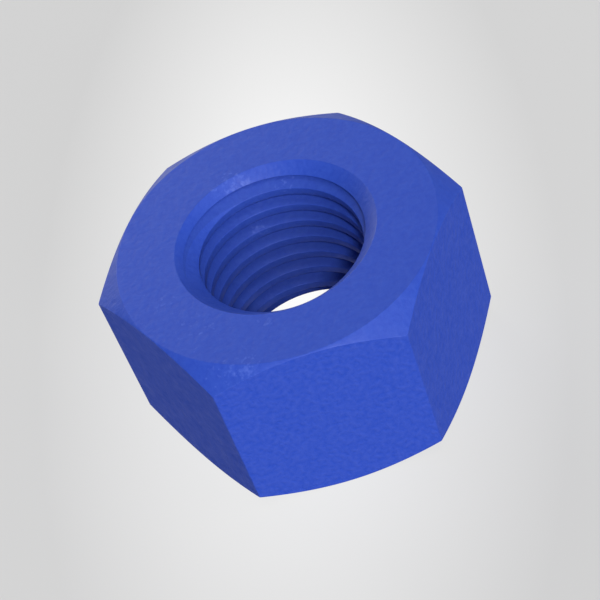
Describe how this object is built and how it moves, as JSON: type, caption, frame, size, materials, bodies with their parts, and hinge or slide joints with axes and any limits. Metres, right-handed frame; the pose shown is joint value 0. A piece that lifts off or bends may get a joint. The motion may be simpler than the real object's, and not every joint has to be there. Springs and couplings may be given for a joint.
{
  "type": "heavy hex nut",
  "caption": "Thick hexagonal nut with chamfered bearing faces, a countersunk through hole and a coarse right-hand internal thread, in a blue coating.",
  "frame": {"origin": "centre of the lower bearing face, on the thread's axis", "axes": "+Z along the thread's axis, up through the nut; +X through a corner of the hexagon, +Y square to a flat"},
  "size_m": [0.0392, 0.034, 0.0207],
  "materials": {
    "coated_steel": "satin"
  },
  "bodies": {
    "root": {"hex_nut": "coated_steel"}
  },
  "joints": []
}
